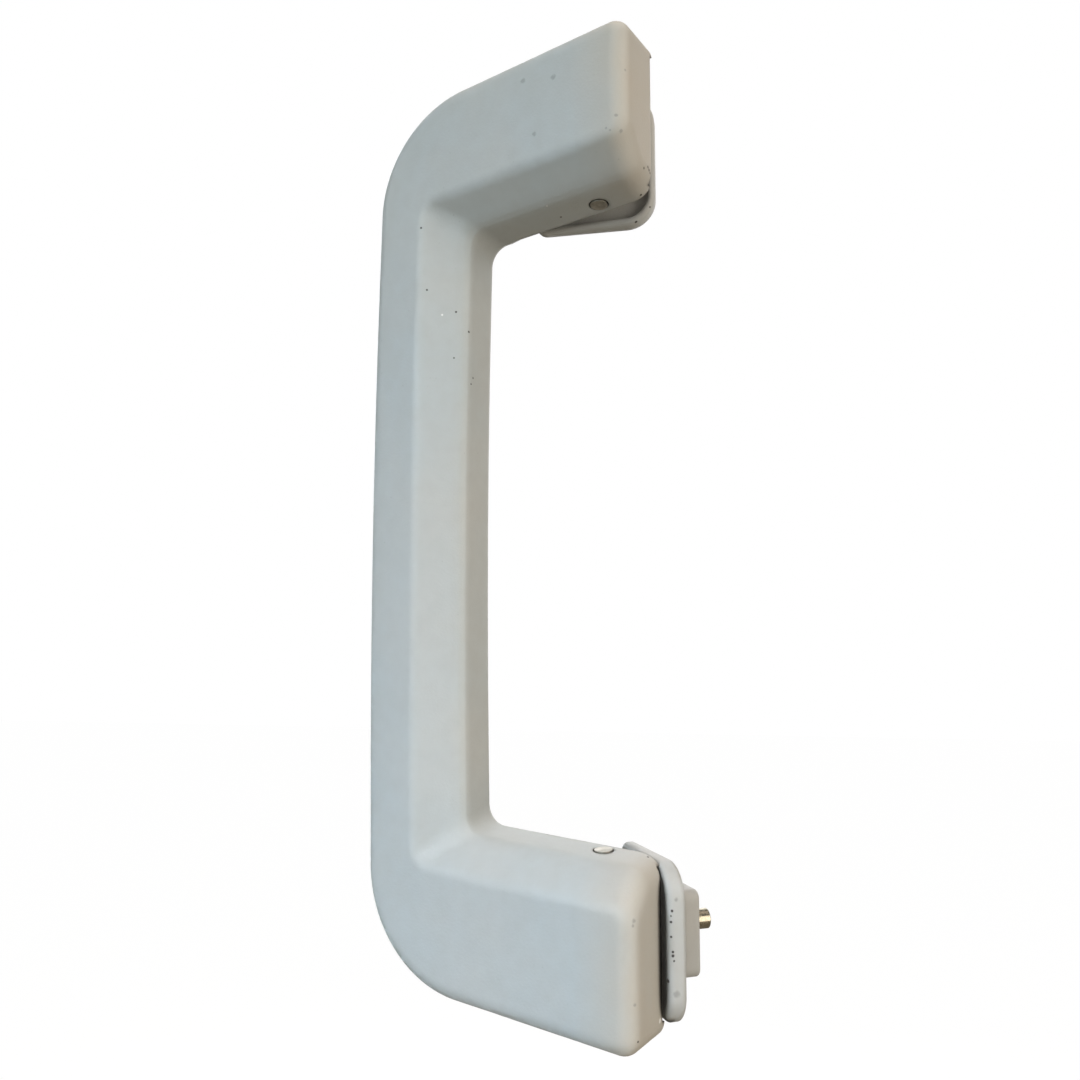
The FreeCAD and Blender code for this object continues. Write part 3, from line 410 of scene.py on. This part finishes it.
def add_ejector_marks(name, side):
    mesh = bmesh.new()
    for x, z in EJECTOR_PLACES:
        disc = bmesh.ops.create_cone(
            mesh, cap_ends=True, segments=48, radius1=EJECTOR_RADIUS * MM,
            radius2=EJECTOR_RADIUS * MM, depth=EJECTOR_HEIGHT * MM)["verts"]
        bmesh.ops.rotate(mesh, verts=disc, matrix=Matrix.Rotation(math.pi / 2, 3, "X"))
        bmesh.ops.rotate(mesh, verts=disc, matrix=Matrix.Rotation(REST_TURN, 3, "Z"))
        bmesh.ops.translate(mesh, verts=disc, vec=in_grip(x, HOLLOW_FLOOR, side * z))
    rims = [edge for edge in mesh.edges if edge.calc_face_angle(0) > 1]
    bmesh.ops.bevel(mesh, geom=rims, offset=0.06 * MM, segments=2, profile=0.5,
                    affect="EDGES", material=-1)
    data = bpy.data.meshes.new(name)
    mesh.to_mesh(data)
    mesh.free()
    data.materials.append(FINISHES["grip"])
    piece = bpy.data.objects.new(name, data)
    scene.collection.objects.link(piece)
    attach(piece, "grip")


add_ejector_marks("upper_ejector_marks", 1)
add_ejector_marks("lower_ejector_marks", -1)


# Studio: pale floor, white surroundings, large soft lamps
FLOOR_DROP = 0.5
FLOOR_SIZE = 12.0
FLOOR_BOUNCE = (0.29, 0.255, 0.205)
FLOOR_WHITE = 0.9
FLOOR_GLOW = 1.1
WORLD_LIGHT = 0.14

# Each lamp: name, place and aim from the part's middle, size, power, colour, spread in degrees
CENTRE = (0, 0, 0)
LAMPS = (
    ("overhead_softbox", (0.1, -0.2, 1.1), CENTRE, (1.3, 1.3), 8.1, (1.0, 0.86, 0.76), 180),
    ("front_softbox", (-0.5, -1.1, 0.35), CENTRE, (1.0, 1.2), 9.5, (0.81, 0.95, 1.0), 180),
    ("low_front_spot", (-0.5, -1.1, 0.2), (0, 0, -0.2), (0.4, 0.4), 0.31, (0.78, 0.86, 1.0), 22),
    ("right_softbox", (1.2, -0.5, 0.1), CENTRE, (0.8, 1.2), 12.0, (1.0, 0.92, 0.81), 180),
    ("back_softbox", (0.05, 1.1, 0.35), CENTRE, (1.0, 1.0), 8, (1, 1, 1), 180),
)


def add_floor():
    mesh = bmesh.new()
    bmesh.ops.create_grid(mesh, x_segments=2, y_segments=2, size=FLOOR_SIZE / 2)
    bmesh.ops.translate(mesh, verts=mesh.verts, vec=(0, 0, cad_box[0][2] - FLOOR_DROP))
    data = bpy.data.meshes.new("studio_floor")
    mesh.to_mesh(data)
    mesh.free()
    floor = bpy.data.objects.new("studio_floor", data)
    scene.collection.objects.link(floor)
    finish = Finish("studio_floor_white")
    finish.set("Base Color", finish.mix(finish.noise(3, 2), FLOOR_BOUNCE,
                                        [c * 1.05 for c in FLOOR_BOUNCE]))
    finish.set("Roughness", 0.9)
    path = finish.node("ShaderNodeLightPath").outputs
    glow = finish.node("ShaderNodeEmission")
    glow.inputs["Color"].default_value = (1, 1, 1, 1)
    glow.inputs["Strength"].default_value = FLOOR_GLOW
    blend = finish.node("ShaderNodeMixShader")
    seen = finish.sums("MAXIMUM", path["Is Camera Ray"], path["Is Transmission Ray"])
    finish.link(finish.sums("MULTIPLY", seen, FLOOR_WHITE), blend.inputs["Fac"])
    finish.link(finish.shader.outputs["BSDF"], blend.inputs[1])
    finish.link(glow.outputs["Emission"], blend.inputs[2])
    output = finish.tree.nodes["Material Output"]
    finish.link(blend.outputs["Shader"], output.inputs["Surface"])
    data.materials.append(finish.material)


def add_world(strength):
    world = bpy.data.worlds.new("studio_white")
    world.use_nodes = True
    tree = world.node_tree
    tree.nodes.clear()
    path = tree.nodes.new("ShaderNodeLightPath")
    seen = tree.nodes.new("ShaderNodeBackground")
    seen.inputs["Color"].default_value = (1, 1, 1, 1)
    seen.inputs["Strength"].default_value = 1.0
    lit = tree.nodes.new("ShaderNodeBackground")
    lit.inputs["Color"].default_value = (0.97, 0.98, 1.0, 1)
    lit.inputs["Strength"].default_value = strength
    either = tree.nodes.new("ShaderNodeMath")
    either.operation = "MAXIMUM"
    tree.links.new(path.outputs["Is Camera Ray"], either.inputs[0])
    tree.links.new(path.outputs["Is Transmission Ray"], either.inputs[1])
    blend = tree.nodes.new("ShaderNodeMixShader")
    tree.links.new(either.outputs[0], blend.inputs["Fac"])
    tree.links.new(lit.outputs[0], blend.inputs[1])
    tree.links.new(seen.outputs[0], blend.inputs[2])
    output = tree.nodes.new("ShaderNodeOutputWorld")
    tree.links.new(blend.outputs[0], output.inputs["Surface"])
    scene.world = world


def add_lamp(name, place, target, size, power, colour, spread):
    data = bpy.data.lights.new(name, "AREA")
    data.shape = "RECTANGLE"
    data.size, data.size_y = size
    data.energy = power
    data.spread = math.radians(spread)
    data.color = colour
    lamp = bpy.data.objects.new(name, data)
    lamp.location = place
    way = target - place
    lamp.rotation_euler = way.to_track_quat("-Z", "Y").to_euler()
    scene.collection.objects.link(lamp)


middle = (Vector(cad_box[0]) + Vector(cad_box[1])) / 2
add_floor()
add_world(WORLD_LIGHT)
for lamp_name, place, aim, size, power, colour, spread in LAMPS:
    add_lamp(lamp_name, middle + Vector(place), middle + Vector(aim), size, power, colour, spread)

scene.view_settings.view_transform = "Standard"
